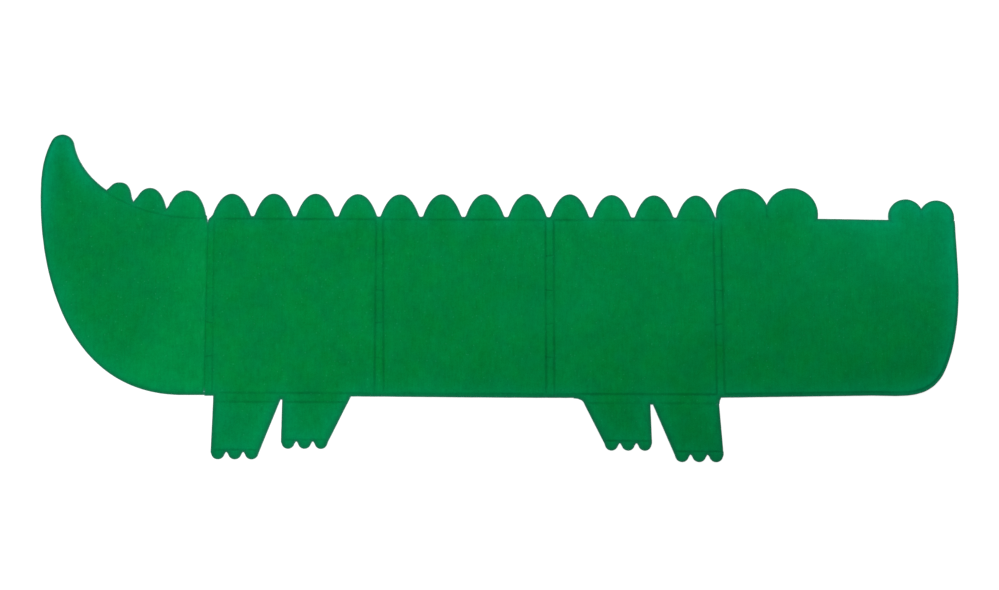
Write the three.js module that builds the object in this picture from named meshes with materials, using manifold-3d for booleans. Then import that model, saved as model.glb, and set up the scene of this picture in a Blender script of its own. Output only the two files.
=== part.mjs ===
// A folding activity board in the shape of a crocodile, open and lying flat.
// Nine stiff boards sit in closed pockets between a front and a back sheet of felt: the tail,
// three body panels, the head and four legs. Between two boards the bare felt is a fold: a
// narrow strip with a crease along each side, so that thick panels can lie on one another.
// X runs from the tail to the head, Y from the feet to the spines, Z up. Millimetres.
import * as THREE from 'three';
import * as BufferGeometryUtils from 'three/addons/utils/BufferGeometryUtils.js';
import Module from 'manifold-3d';

const wasm = await Module();
wasm.setup();

// Layers, from the middle of the thickness outwards
const boardThickness = 2.0;
const feltThickness = 1.0;
const glueLine = 0.3;

// Body panels
const panelPitch = 203.4;
const boardHeight = 207.6;
const boardCornerRadius = 3;
const hemDepth = 5.3;
const edgeMargin = 3.1;

// Folds
const panelCreaseSpacing = 5.6;
const legCreaseSpacing = 6.7;
const foldClearance = 0.3;

// Spines along the back
const spinesPerPanel = 4;
const spineFoot = 4.3;
const spineRise = 27.2;
const spineValley = 2.3;
const spineLean = 26.6;

// Tail
const tailLength = 207.1;
const tailHeight = 316.9;
const tailTipRadius = 14.6;
const tailSpineLean = 17;

// Head
const headLength = 288.5;
const headHeight = 216.1;
const eyeRadius = 33.3;
const nostrilRadius = 20.8;

// Legs
const legTopWidth = 79.6;
const legFootWidth = 58;
const rearLegFlare = 1.6;
const frontLegFlare = 4.7;
const longLegBoard = 55.3;
const shortLegBoard = 43.1;
const legSlit = 2.2;
const legGap = 0.5;
const rearLegSetback = 5.8;
const frontLegSetback = 0.4;
const legBoardMargin = 2.6;

// Toes
const toesPerLeg = 3;
const toeFoot = 4.1;
const toeRise = 8.6;
const toeNotch = 3.6;
const toeLean = 19.3;

// One overrun for every cut, and the steps that a curve is drawn with
const overrun = 20;
const curveSteps = 12;
const crownSteps = 5;
const creaseSteps = 4;
const bevelSteps = 2;

// Heights above and below the middle of the thickness
const pocketHalf = boardThickness / 2 + glueLine;
const shellHalf = pocketHalf + feltThickness;
const sheetHalf = glueLine / 2 + feltThickness;

// The felt slopes from a board's edge down to the sheet over this width
const slopeWidth = glueLine + feltThickness;

// From a slope's foot to the crease beside it
const creaseOffset = sheetHalf + foldClearance;

// Places along and across the body: a fold's middle line is halfway between two panels
const foldHalf = panelCreaseSpacing / 2 + creaseOffset;
const bodyHalf = 1.5 * panelPitch;
const boardTop = boardHeight / 2;
const boardBottom = -boardHeight / 2;
const hemLevel = boardBottom - hemDepth;
const valleyLevel = boardTop + spineFoot;
const panelFootLevel = boardBottom - slopeWidth;
const legFootLevel = panelFootLevel - 2 * creaseOffset - legCreaseSpacing;
const legBoardTop = legFootLevel - slopeWidth;
const spinePitch = panelPitch / spinesPerPanel;
const tailRise = tailHeight - (valleyLevel - hemLevel);
const reach = bodyHalf + tailLength + headLength;

const radians = THREE.MathUtils.degToRad;

// Materials: dyed wool felt, the tail's slightly lighter felt, and grey board
const feltColour = '#04803f';
const tailFeltColour = '#058c47';
const boardColour = '#b3a893';

function material(name) {
  if (name.endsWith('_board')) {
    return new THREE.MeshStandardMaterial({ color: boardColour, roughness: 0.85, metalness: 0 });
  }
  const color = name.startsWith('tail_') && !name.includes('fold') ? tailFeltColour : feltColour;
  return new THREE.MeshStandardMaterial({ color, roughness: 0.95, metalness: 0 });
}

// Outlines are lists of points that run anticlockwise, without the first point again at the end

function outline(shape, steps = curveSteps) {
  const points = shape.getPoints(steps);
  const last = points[points.length - 1];
  if (last.distanceTo(points[0]) < Number.EPSILON * reach) points.pop();
  return THREE.ShapeUtils.isClockWise(points) ? points.reverse() : points;
}

function grown(points, distance) {
  return points.map((point, i) => {
    const before = points[(i + points.length - 1) % points.length];
    const after = points[(i + 1) % points.length];
    const into = point.clone().sub(before).normalize();
    const out = after.clone().sub(point).normalize();
    const mitre = new THREE.Vector2(into.y + out.y, -into.x - out.x);
    return point.clone().addScaledVector(mitre, distance / (1 + into.dot(out)));
  });
}

function rectangle(left, right, low, high, corner = 0) {
  const shape = new THREE.Shape();
  if (corner === 0) {
    shape.moveTo(left, low).lineTo(right, low).lineTo(right, high).lineTo(left, high);
    return outline(shape);
  }
  const turn = Math.PI / 2;
  shape.absarc(right - corner, low + corner, corner, -turn, 0);
  shape.absarc(right - corner, high - corner, corner, 0, turn);
  shape.absarc(left + corner, high - corner, corner, turn, 2 * turn);
  shape.absarc(left + corner, low + corner, corner, 2 * turn, 3 * turn);
  return outline(shape, bevelSteps);
}

// Solids

function solid(geometry) {
  geometry.deleteAttribute('normal');
  geometry.deleteAttribute('uv');
  const merged = BufferGeometryUtils.mergeVertices(geometry);
  return new wasm.Manifold(new wasm.Mesh({
    numProp: 3,
    vertProperties: new Float32Array(merged.attributes.position.array),
    triVerts: new Uint32Array(merged.index.array),
  }));
}

function union(solids) {
  return solids.reduce((all, next) => all.add(next));
}

function box(left, right, low, high, bottom, top) {
  const geometry = new THREE.BoxGeometry(right - left, high - low, top - bottom);
  geometry.translate((left + right) / 2, (low + high) / 2, (bottom + top) / 2);
  return solid(geometry);
}

// A straight slab of an outline, half its thickness above and below the middle
function slab(points, half) {
  const geometry = new THREE.ExtrudeGeometry(new THREE.Shape(points), {
    depth: 2 * half,
    bevelEnabled: false,
  });
  geometry.translate(0, 0, -half);
  return solid(geometry);
}

// The outer form of the felt over a board: full height inside the board's outline, with
// rounded slopes down to the sheet's thickness outside it
function pillow(points) {
  const slope = shellHalf - sheetHalf;
  const geometry = new THREE.ExtrudeGeometry(new THREE.Shape(points), {
    depth: 2 * sheetHalf,
    bevelEnabled: true,
    bevelThickness: slope,
    bevelSize: slopeWidth,
    bevelSegments: bevelSteps,
  });
  geometry.translate(0, 0, -sheetHalf);
  return solid(geometry);
}

// The flat sheet: every outline here is cut from the two felts at once

// A spine or a toe: a round crown on two leaning flanks, rising from a foot of known width.
// It goes on straight past its foot, into the felt that carries it.
function crown(middle, foot, rise, halfFoot, leanDegrees, root) {
  const up = Math.sign(rise);
  const height = Math.abs(rise);
  const lean = radians(leanDegrees);
  const spare = Math.cos(lean) - (1 - Math.sin(lean)) * Math.tan(lean);
  const radius = (halfFoot - height * Math.tan(lean)) / spare;
  const centre = foot + up * (height - radius);
  const shape = new THREE.Shape();
  shape.moveTo(middle + halfFoot, foot - up * root);
  shape.lineTo(middle + halfFoot, foot);
  shape.absarc(middle, centre, radius, up * lean, up * (Math.PI - lean), up < 0);
  shape.lineTo(middle - halfFoot, foot);
  shape.lineTo(middle - halfFoot, foot - up * root);
  return outline(shape, crownSteps);
}

function bodyOutlines() {
  const halfFoot = (spinePitch - spineValley) / 2;
  const outlines = [rectangle(-bodyHalf, bodyHalf, hemLevel, valleyLevel)];
  for (let i = 0; i < 3 * spinesPerPanel; i += 1) {
    const middle = -bodyHalf + (i + 0.5) * spinePitch;
    outlines.push(crown(middle, valleyLevel, spineRise, halfFoot, spineLean, spineFoot));
  }
  return outlines;
}

// The tail's outline, in shares of its length from the first fold and of its height from the
// hem. Along the back, heights are shares of the tail's rise above the body's back.
const tailPlace = (lengthShare, heightShare) => [
  -bodyHalf - lengthShare * tailLength,
  hemLevel + heightShare * tailHeight,
];
const tailBackPlace = (lengthShare, riseShare) => [
  -bodyHalf - lengthShare * tailLength,
  valleyLevel + riseShare * tailRise,
];

function tailOutline() {
  const [tipX] = tailPlace(0.883, 1);
  const tipY = hemLevel + tailHeight - tailTipRadius;
  const [farX, farY] = tailPlace(1, 0.783);
  const [lowX] = tailPlace(0.144, 0);
  const tipStart = radians(10);
  const tipEnd = radians(154);
  const shape = new THREE.Shape();
  shape.moveTo(-bodyHalf + overrun, hemLevel);
  shape.lineTo(-bodyHalf + overrun, valleyLevel);
  shape.lineTo(-bodyHalf, valleyLevel);
  shape.bezierCurveTo(
    ...tailBackPlace(0.332, -0.058),
    ...tailBackPlace(0.748, 0.259),
    tipX + tailTipRadius * Math.cos(tipStart),
    tipY + tailTipRadius * Math.sin(tipStart),
  );
  shape.absarc(tipX, tipY, tailTipRadius, tipStart, tipEnd);
  shape.bezierCurveTo(...tailPlace(0.993, 0.906), ...tailPlace(1, 0.851), farX, farY);
  shape.bezierCurveTo(...tailPlace(1, 0.434), ...tailPlace(0.786, 0), lowX, hemLevel);
  return outline(shape);
}

// The tail's three spines follow the body's, smaller and higher towards the tip
const tailSpineShares = [
  { place: [0.151, 0], rise: 1.14, width: 0.952 },
  { place: [0.363, 0.086], rise: 0.93, width: 0.795 },
  { place: [0.542, 0.178], rise: 0.84, width: 0.645 },
];

function tailSpineOutlines() {
  return tailSpineShares.map((share) => {
    const [middle, foot] = tailBackPlace(...share.place);
    const halfFoot = (share.width * spinePitch) / 2;
    return crown(middle, foot, share.rise * spineRise, halfFoot, tailSpineLean, spineFoot);
  });
}

// The head's outline, in shares of its length from the last fold and of its height from the hem
const headPlace = (lengthShare, heightShare) => [
  bodyHalf + lengthShare * headLength,
  hemLevel + heightShare * headHeight,
];

function headOutline() {
  const shape = new THREE.Shape();
  shape.moveTo(bodyHalf - overrun, hemLevel);
  shape.lineTo(bodyHalf, hemLevel);
  shape.lineTo(...headPlace(0.612, 0.015));
  shape.bezierCurveTo(...headPlace(0.75, 0.017), ...headPlace(0.873, -0.019), ...headPlace(0.937, 0.171));
  shape.bezierCurveTo(...headPlace(1, 0.359), ...headPlace(1, 0.588), ...headPlace(1, 0.688));
  shape.lineTo(...headPlace(0.992, 1));
  shape.lineTo(bodyHalf - overrun, headPlace(0, 1)[1]);
  return outline(shape);
}

// Two eyes and two nostrils stand up from the head: length and height shares, radius shares
const headBumpShares = [
  { place: [0.107, 1.014], radius: [1.018, 1.018], of: eyeRadius },
  { place: [0.308, 1.023], radius: [0.982, 0.982], of: eyeRadius },
  { place: [0.788, 1.021], radius: [1.058, 0.962], of: nostrilRadius },
  { place: [0.915, 1.008], radius: [1.053, 1.053], of: nostrilRadius },
];

function headBumpOutlines() {
  return headBumpShares.map(({ place, radius, of }) => {
    const shape = new THREE.Shape();
    shape.absellipse(...headPlace(...place), of * radius[0], of * radius[1], 0, 2 * Math.PI);
    return outline(shape, curveSteps * 1.5);
  });
}

// The head's board is whole between two bumps, up to the line between their centres
function headBridgeOutlines() {
  const level = headPlace(0, 0.5)[1];
  const centres = headBumpShares.map(({ place }) => headPlace(...place));
  return [0, 2].map((first) => {
    const [left, right] = [centres[first], centres[first + 1]];
    const shape = new THREE.Shape();
    shape.moveTo(left[0], level).lineTo(right[0], level).lineTo(...right).lineTo(...left);
    return outline(shape);
  });
}

// Legs. Each has one upright edge, away from the body's middle, and one slanting edge.
const rear = { side: -1, setback: rearLegSetback, flare: rearLegFlare };
const front = { side: 1, setback: frontLegSetback, flare: frontLegFlare };
const legs = [
  { name: 'rear_outer_leg', ...rear, order: 0, boardLength: longLegBoard },
  { name: 'rear_inner_leg', ...rear, order: 1, boardLength: shortLegBoard },
  { name: 'front_inner_leg', ...front, order: 1, boardLength: shortLegBoard },
  { name: 'front_outer_leg', ...front, order: 0, boardLength: longLegBoard },
];

// The leg's edges at the level of its board's top and at the notches between its toes
function legEdges(leg) {
  const outerTop = bodyHalf - leg.setback - leg.order * (legTopWidth + legSlit);
  const innerTop = outerTop - legTopWidth;
  const outerNotch = outerTop + leg.flare * (1 - leg.order / 2);
  const innerNotch = outerNotch - legFootWidth;
  const notchLevel = legBoardTop - leg.boardLength - toeFoot;
  return { outerTop, innerTop, outerNotch, innerNotch, notchLevel };
}

// An outline on the head's side of the middle, turned over for a leg on the tail's side
function onSide(leg, points) {
  return leg.side > 0 ? points : points.map((point) => new THREE.Vector2(-point.x, point.y)).reverse();
}

function legSheet(leg) {
  const { outerTop, innerTop, outerNotch, innerNotch, notchLevel } = legEdges(leg);
  const slant = (innerNotch - innerTop) / (legBoardTop - notchLevel);
  const innerRoot = innerTop - slant * (boardBottom - legBoardTop);
  const shape = new THREE.Shape();
  shape.moveTo(outerTop, boardBottom);
  shape.lineTo(innerRoot, boardBottom);
  shape.lineTo(innerNotch, notchLevel);
  shape.lineTo(outerNotch, notchLevel);
  shape.lineTo(outerTop, legBoardTop);
  const toePitch = (legFootWidth + toeNotch) / toesPerLeg;
  const halfToe = (toePitch - toeNotch) / 2;
  const outlines = [outline(shape)];
  for (let i = 0; i < toesPerLeg; i += 1) {
    const middle = innerNotch + halfToe + i * toePitch;
    outlines.push(crown(middle, notchLevel, -toeRise, halfToe, toeLean, toeFoot));
  }
  return union(outlines.map((points) => slab(onSide(leg, points), sheetHalf)));
}

function legBoardOutline(leg) {
  const { outerTop, innerTop, outerNotch, innerNotch, notchLevel } = legEdges(leg);
  const footShare = leg.boardLength / (legBoardTop - notchLevel);
  const outerFoot = THREE.MathUtils.lerp(outerTop, outerNotch, footShare) - legBoardMargin;
  const innerFoot = THREE.MathUtils.lerp(innerTop, innerNotch, footShare) + legBoardMargin;
  const shape = new THREE.Shape();
  shape.moveTo(innerTop + legBoardMargin, legBoardTop);
  shape.lineTo(innerFoot, legBoardTop - leg.boardLength);
  shape.lineTo(outerFoot, legBoardTop - leg.boardLength);
  shape.lineTo(outerTop - legBoardMargin, legBoardTop);
  return onSide(leg, outline(shape));
}

// Panels: where each one's felt ends beside its folds, and the plan of its board.
// A plan is made at any growth outside the board, for the pocket and for the felt's form.
const panels = [
  { name: 'tail', left: -bodyHalf - tailLength - overrun, right: -bodyHalf - foldHalf },
  { name: 'rear_panel', left: -bodyHalf + foldHalf, right: -panelPitch / 2 - foldHalf },
  { name: 'middle_panel', left: -panelPitch / 2 + foldHalf, right: panelPitch / 2 - foldHalf },
  { name: 'front_panel', left: panelPitch / 2 + foldHalf, right: bodyHalf - foldHalf },
  { name: 'head', left: bodyHalf + foldHalf, right: bodyHalf + headLength + overrun },
];

// Only the side of the board that faces a fold is straight on the tail and the head
function tailBoard(form, growth) {
  const edge = panels[0].right - slopeWidth;
  const kept = rectangle(panels[0].left, edge, hemLevel - overrun, hemLevel + tailHeight + overrun);
  return form(grown(tailOutline(), growth - edgeMargin)).intersect(form(grown(kept, growth)));
}

function headBoard(form, growth) {
  const edge = panels[4].left + slopeWidth;
  const kept = rectangle(edge, panels[4].right, hemLevel - overrun, hemLevel + headHeight + 2 * eyeRadius);
  const outlines = [headOutline(), ...headBridgeOutlines(), ...headBumpOutlines()];
  const whole = union(outlines.map((points) => form(grown(points, growth - edgeMargin))));
  const raised = whole.translate([0, hemDepth - edgeMargin, 0]);
  return whole.intersect(raised).intersect(form(grown(kept, growth)));
}

function boardForm(panel, form, growth) {
  if (panel.name === 'tail') return tailBoard(form, growth);
  if (panel.name === 'head') return headBoard(form, growth);
  const left = panel.left + slopeWidth;
  const right = panel.right - slopeWidth;
  return form(grown(rectangle(left, right, boardBottom, boardTop, boardCornerRadius), growth));
}

const inPocket = (points) => slab(points, pocketHalf);
const asBoard = (points) => slab(points, boardThickness / 2);

// The front and the back felt of a piece that was made as one
function layers(shell) {
  const far = reach + overrun;
  const upper = box(-far, far, -far, far, glueLine / 2, shellHalf + overrun);
  const lower = box(-far, far, -far, far, -shellHalf - overrun, -glueLine / 2);
  return { front: shell.intersect(upper), back: shell.intersect(lower) };
}

// A fold's strip, with half-round sides centred on its two creases
function stripOutline(spacing) {
  const turn = Math.PI / 2;
  const shape = new THREE.Shape();
  shape.absarc(spacing / 2, 0, sheetHalf, -turn, turn);
  shape.absarc(-spacing / 2, 0, sheetHalf, turn, 3 * turn);
  return outline(shape, creaseSteps);
}

function strip(spacing, length, across, along) {
  const geometry = new THREE.ExtrudeGeometry(new THREE.Shape(stripOutline(spacing)), {
    depth: length,
    bevelEnabled: false,
  });
  geometry.translate(0, 0, -length / 2);
  const up = new THREE.Vector3(0, 0, 1);
  geometry.applyMatrix4(new THREE.Matrix4().makeBasis(across, up, along));
  return geometry;
}

const alongX = new THREE.Vector3(1, 0, 0);
const alongY = new THREE.Vector3(0, 1, 0);

// The pieces
const board = new THREE.Group();

function addPiece(name, piece) {
  const { vertProperties, triVerts } = piece.getMesh();
  const geometry = new THREE.BufferGeometry();
  geometry.setAttribute('position', new THREE.BufferAttribute(vertProperties, 3));
  geometry.setIndex(new THREE.BufferAttribute(triVerts, 1));
  geometry.computeVertexNormals();
  const mesh = new THREE.Mesh(geometry, material(name));
  mesh.name = name;
  board.add(mesh);
}

function addFelts(name, shell, kind) {
  const { front, back } = layers(shell);
  addPiece(`${name}_front_${kind}`, front);
  addPiece(`${name}_back_${kind}`, back);
}

const bodySheet = union([
  ...bodyOutlines(),
  tailOutline(),
  ...tailSpineOutlines(),
  headOutline(),
  ...headBumpOutlines(),
].map((points) => slab(points, sheetHalf)));

const legSheets = legs.map(legSheet);
const far = reach + overrun;
const belowPanels = box(-far, far, -far, panelFootLevel, -overrun, overrun);
const belowLegFolds = box(-far, far, -far, legFootLevel, -overrun, overrun);

// The legs cut their width, and a running gap beside it, out of the body's hem. A slanting edge
// needs the gap: as the leg folds, the wider part of its strip swings down beside the hem.
const legsAndGaps = union(legSheets.flatMap((sheet) => [
  sheet.translate([-legGap, 0, 0]),
  sheet,
  sheet.translate([legGap, 0, 0]),
])).intersect(belowPanels);

for (const panel of panels) {
  const window = box(panel.left, panel.right, -far, far, -overrun, overrun);
  const sheet = bodySheet.intersect(window).subtract(legsAndGaps);
  const shell = sheet.add(boardForm(panel, pillow, 0)).subtract(boardForm(panel, inPocket, glueLine));
  addPiece(`${panel.name}_board`, boardForm(panel, asBoard, 0));
  addFelts(panel.name, shell, 'felt');
}

for (let i = 0; i < legs.length; i += 1) {
  const points = legBoardOutline(legs[i]);
  const sheet = legSheets[i].intersect(belowLegFolds);
  const shell = sheet.add(pillow(points)).subtract(inPocket(grown(points, glueLine)));
  addPiece(`${legs[i].name}_board`, asBoard(points));
  addFelts(legs[i].name, shell, 'felt');
}

// The folds between the panels carry the feet of the spines on either side
const panelFolds = ['tail_fold', 'rear_fold', 'front_fold', 'head_fold'];
for (let i = 0; i < panelFolds.length; i += 1) {
  const middle = (i - 1.5) * panelPitch;
  const geometry = strip(panelCreaseSpacing, 2 * far, alongX, alongY.clone().negate());
  geometry.translate(middle, 0, 0);
  addFelts(panelFolds[i], bodySheet.intersect(solid(geometry)), 'layer');
}

// The folds above the legs end at the slit between two legs and at their panel's sides
for (let i = 0; i < legs.length; i += 1) {
  const leg = legs[i];
  const slitMiddle = legEdges({ ...leg, order: 1 }).outerTop + legSlit / 2;
  const inner = leg.order === 0 ? slitMiddle + foldClearance / 2 : panelPitch / 2 + foldHalf;
  const outer = leg.order === 0 ? bodyHalf - foldHalf : slitMiddle - foldClearance / 2;
  const window = onSide(leg, rectangle(inner, outer, legFootLevel - overrun, boardBottom));
  const geometry = strip(legCreaseSpacing, 2 * far, alongY, alongX);
  geometry.translate(0, (panelFootLevel + legFootLevel) / 2, 0);
  const shell = legSheets[i].intersect(solid(geometry)).intersect(slab(window, sheetHalf + overrun));
  addFelts(`${leg.name}_fold`, shell, 'layer');
}

// The origin is the middle of the board's underside
const extent = new THREE.Box3().setFromObject(board);
const middle = extent.getCenter(new THREE.Vector3());
board.position.set(-middle.x, -middle.y, -extent.min.z);

const crocodile = new THREE.Group();
crocodile.add(board);

export default crocodile;
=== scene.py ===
# %% [markdown]
# # A crocodile that folds up
#
# The object is a flat board in the shape of a crocodile, 1.1 m long. Nine pieces of stiff grey
# board lie between two layers of green felt: the tail, three body panels, the head and four
# legs. Where there is no board the felt is a fold, so the whole animal folds into a stack.
# The CAD model has every board and every layer, but its felt is plain and smooth. This file
# makes the felt again as cloth, and leaves the boards inside where they are.

import math

import bpy
import numpy as np
from mathutils import Matrix, Vector, noise
from mathutils.geometry import delaunay_2d_cdt


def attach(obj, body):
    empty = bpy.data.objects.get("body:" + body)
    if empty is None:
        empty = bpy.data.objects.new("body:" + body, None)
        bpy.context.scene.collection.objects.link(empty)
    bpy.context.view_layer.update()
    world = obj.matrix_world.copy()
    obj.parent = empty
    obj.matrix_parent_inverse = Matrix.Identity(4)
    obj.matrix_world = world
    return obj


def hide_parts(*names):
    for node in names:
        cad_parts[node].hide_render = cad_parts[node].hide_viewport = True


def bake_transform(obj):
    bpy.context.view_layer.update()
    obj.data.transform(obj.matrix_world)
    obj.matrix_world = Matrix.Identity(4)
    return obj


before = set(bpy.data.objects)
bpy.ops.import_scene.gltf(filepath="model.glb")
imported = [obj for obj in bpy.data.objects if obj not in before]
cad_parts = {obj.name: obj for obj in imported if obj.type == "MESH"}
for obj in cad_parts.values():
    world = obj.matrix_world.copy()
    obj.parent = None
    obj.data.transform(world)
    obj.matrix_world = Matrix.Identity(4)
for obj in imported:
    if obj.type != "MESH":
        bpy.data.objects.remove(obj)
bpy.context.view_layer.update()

# %% [markdown]
# ## Camera
# The photograph looks straight down on the board, from a little towards the feet. A 50 mm lens
# at 1.67 m gives the same gentle perspective: the lower edge comes out about 1% larger than
# the upper one. The camera could be turned by hand until it fits. Here it is aimed at a point,
# then rolled by a fifth of a degree, so each number can be read and changed.

# %% Aim the camera
scene = bpy.context.scene
scene.view_settings.view_transform = "Standard"
camera_data = bpy.data.cameras.new("camera")
camera_data.lens = 50
camera_data.sensor_width = 36
camera = bpy.data.objects.new("camera", camera_data)
scene.collection.objects.link(camera)
scene.camera = camera

camera_distance = 1.665
camera_tilt = math.radians(5.07)
camera_roll = math.radians(0.2)
camera_target = Vector((0.0015, 0.0017, 0.0023))
camera_back = Vector((0, -math.sin(camera_tilt), math.cos(camera_tilt)))
camera.location = camera_target + camera_distance * camera_back
aim = (-camera_back).to_track_quat("-Z", "Y").to_matrix().to_4x4()
camera.matrix_world = Matrix.Translation(camera.location) @ aim @ Matrix.Rotation(camera_roll, 4, "Z")
print("Camera at", [round(value, 4) for value in camera.location])

# %% [markdown]
# ## Materials: two small helpers
# Colours are written as sRGB hex values, as a paint program shows them, and a shader needs
# them linear. Nodes are added by one function that takes a node's type, its settings and what
# goes into its sockets, so a material reads from top to bottom like a recipe.


# %% Colour and node helpers
def linear(hex_colour):
    """An sRGB hex colour as the four linear numbers that a shader takes."""
    channels = [int(hex_colour[i : i + 2], 16) / 255 for i in (1, 3, 5)]
    return (*[c / 12.92 if c <= 0.04045 else ((c + 0.055) / 1.055) ** 2.4 for c in channels], 1)


def add_node(tree, kind, settings=None, **inputs):
    """Adds a node. An input is a value or another node's output, and _ stands for a space."""
    made = tree.nodes.new(kind)
    for key, value in (settings or {}).items():
        setattr(made, key, value)
    for key, value in inputs.items():
        socket = made.inputs[int(key[2:]) if key.startswith("in") else key.replace("_", " ")]
        if isinstance(value, bpy.types.NodeSocket):
            tree.links.new(value, socket)
        else:
            socket.default_value = value
    return made


def empty_tree(owner):
    """The node tree of a material or world, with nothing in it yet."""
    owner.use_nodes = True
    owner.node_tree.nodes.clear()
    return owner.node_tree


# %% [markdown]
# ## Floor and light
# The photograph has a pure white ground and hardly any shadow. White paint alone would need so
# much light that the felt would wash out. So what the camera sees of the floor is a plain white
# glow with a little grey paint under it, and the paint takes the board's faint shadow. All other
# light meets ordinary white paint.
# The felt is brightest at the tail and along the top, and a third darker at the jaw. Two soft
# boxes do that over a pale world: one hangs low over the rear panel and is turned to the tail,
# the other stands above the head and is turned away from the jaw.

# %% Floor
floor_half, floor_level = 12.0, -0.0002
floor_data = bpy.data.meshes.new("floor")
corners = [(x * floor_half, y * floor_half, floor_level) for x, y in ((-1, -1), (1, -1), (1, 1), (-1, 1))]
floor_data.from_pydata(corners, [], [(0, 1, 2, 3)])
floor = bpy.data.objects.new("floor", floor_data)
scene.collection.objects.link(floor)


def seen_directly(tree):
    """One where the camera, a mirror or glass shows the ground, and zero for all other light."""
    path = add_node(tree, "ShaderNodeLightPath")
    seen = path.outputs["Is Camera Ray"]
    for ray in ("Is Glossy Ray", "Is Transmission Ray"):
        both = add_node(tree, "ShaderNodeMath", {"operation": "ADD", "use_clamp": True},
                        in0=seen, in1=path.outputs[ray])
        seen = both.outputs[0]
    return seen


paper = bpy.data.materials.new("white_paper")
tree = empty_tree(paper)
paint = add_node(tree, "ShaderNodeBsdfDiffuse", Color=linear("#f4f4f4"))
shaded = add_node(tree, "ShaderNodeBsdfDiffuse", Color=linear("#8a8a8a"))
glow = add_node(tree, "ShaderNodeEmission", Color=linear("#ffffff"), Strength=0.9)
white = add_node(tree, "ShaderNodeAddShader", in0=shaded.outputs[0], in1=glow.outputs[0])
mixed = add_node(tree, "ShaderNodeMixShader",
                 in0=seen_directly(tree), in1=paint.outputs[0], in2=white.outputs[0])
add_node(tree, "ShaderNodeOutputMaterial", Surface=mixed.outputs[0])
floor.data.materials.append(paper)
print("Floor:", 2 * floor_half, "m wide")

# %% World and lamps
world = bpy.data.worlds.new("studio")
scene.world = world
tree = empty_tree(world)
world_light = 0.3
dim = add_node(tree, "ShaderNodeBackground", Color=linear("#ffffff"), Strength=world_light)
bright = add_node(tree, "ShaderNodeBackground", Color=linear("#ffffff"), Strength=1.0)
mixed = add_node(tree, "ShaderNodeMixShader",
                 in0=seen_directly(tree), in1=dim.outputs[0], in2=bright.outputs[0])
add_node(tree, "ShaderNodeOutputWorld", Surface=mixed.outputs[0])


def softbox(name, place, target, size, watts):
    data = bpy.data.lights.new(name, "AREA")
    data.shape = "SQUARE"
    data.size = size
    data.energy = watts
    lamp = bpy.data.objects.new(name, data)
    scene.collection.objects.link(lamp)
    lamp.visible_camera = False
    towards = (Vector(target) - Vector(place)).to_track_quat("-Z", "Y").to_matrix().to_4x4()
    lamp.matrix_world = Matrix.Translation(place) @ towards


box_size = 0.7
softbox("tail_side", (-0.32, -0.18, 1.0), (-1.2, 0.5, 0), box_size, 8.8)
softbox("head_side", (0.45, 0.68, 0.9), (1.0, 0.88, 0), box_size, 10.1)

# %% [markdown]
# ## The outline
# Both felts were cut to one outline. Its parts are simple: a long rectangle for the body, a
# row of rounded spines, a hooked tail, a head with two eyes and two nostrils, and four legs
# with three toes each. They could be drawn as one long curve. It is easier to draw each part
# by itself, on top of the body, and let a triangulation find the line round them all.
# Sizes are in millimetres, and repeat those of the CAD source. X is 0 at the middle panel's
# centre and Y is 0 half-way up the boards.

# %% Sizes
# Heights above the middle of the thickness: a board, the felts' two faces, and the open felt
board_half, felt_thick, glue_line = 1.0, 1.1, 0.05
shell_half, sheet_half = 2.3, 1.15
panel_pitch, body_half = 203.4, 305.1
fold_half, slope_width = 4.25, 2.4
board_top, hem_level, valley_level = 103.8, -109.1, 108.1
spine_pitch, spine_rise, spine_half_foot, spine_lean = panel_pitch / 4, 27.2, 23.4, 20.6
tail_length, tail_height, tail_rise, tip_radius = 207.1, 316.9, 99.7, 14.6
head_length, head_height = 288.5, 216.1
fold_middles = {"tail_fold": -305.1, "rear_fold": -101.7, "front_fold": 101.7, "head_fold": 305.1}
# The legs' folds run between two creases, and each leg's board begins below
leg_cut, leg_middle, leg_foot, leg_board_top = -105.1, -109.9, -114.7, -116.0
leg_pitch, leg_top_width, leg_foot_width, to_slit = 81.8, 79.6, 58, 80.7
toe_foot, toe_rise, toe_lean, toe_gap = 4.1, 8.6, 19.3, 2.6
# How far the edge of a board stays inside the outline
board_margin, leg_margin = 3.1, 2.6
# From this drawing's zero to the frame's
frame_shift = np.array([40.7, 11.8956])
print("Length, mm:", 2 * body_half + tail_length + head_length)


# %% Curves
def bezier(start, first, second, end, steps=70):
    t = np.linspace(0, 1, steps)[:, None]
    a, b, c, d = (np.array(p, float) for p in (start, first, second, end))
    return a * (1 - t) ** 3 + 3 * b * t * (1 - t) ** 2 + 3 * c * t**2 * (1 - t) + d * t**3


def arc(centre, radii, start, end, steps=40):
    angle = np.linspace(start, end, steps)
    return np.array(centre) + np.column_stack([radii[0] * np.cos(angle), radii[1] * np.sin(angle)])


def crown(middle, foot, rise, half_foot, lean_degrees, root):
    """A toe: two leaning flanks and a round top, going on past its foot."""
    up, height, lean = math.copysign(1, rise), abs(rise), math.radians(lean_degrees)
    spare = math.cos(lean) - (1 - math.sin(lean)) * math.tan(lean)
    radius = (half_foot - height * math.tan(lean)) / spare
    centre = foot + up * (height - radius)
    top = arc((middle, centre), (radius, up * radius), lean, math.pi - lean)
    left, right, under = middle - half_foot, middle + half_foot, foot - up * root
    return np.vstack([[(right, under), (right, foot)], top, [(left, foot), (left, under)]])


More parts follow.
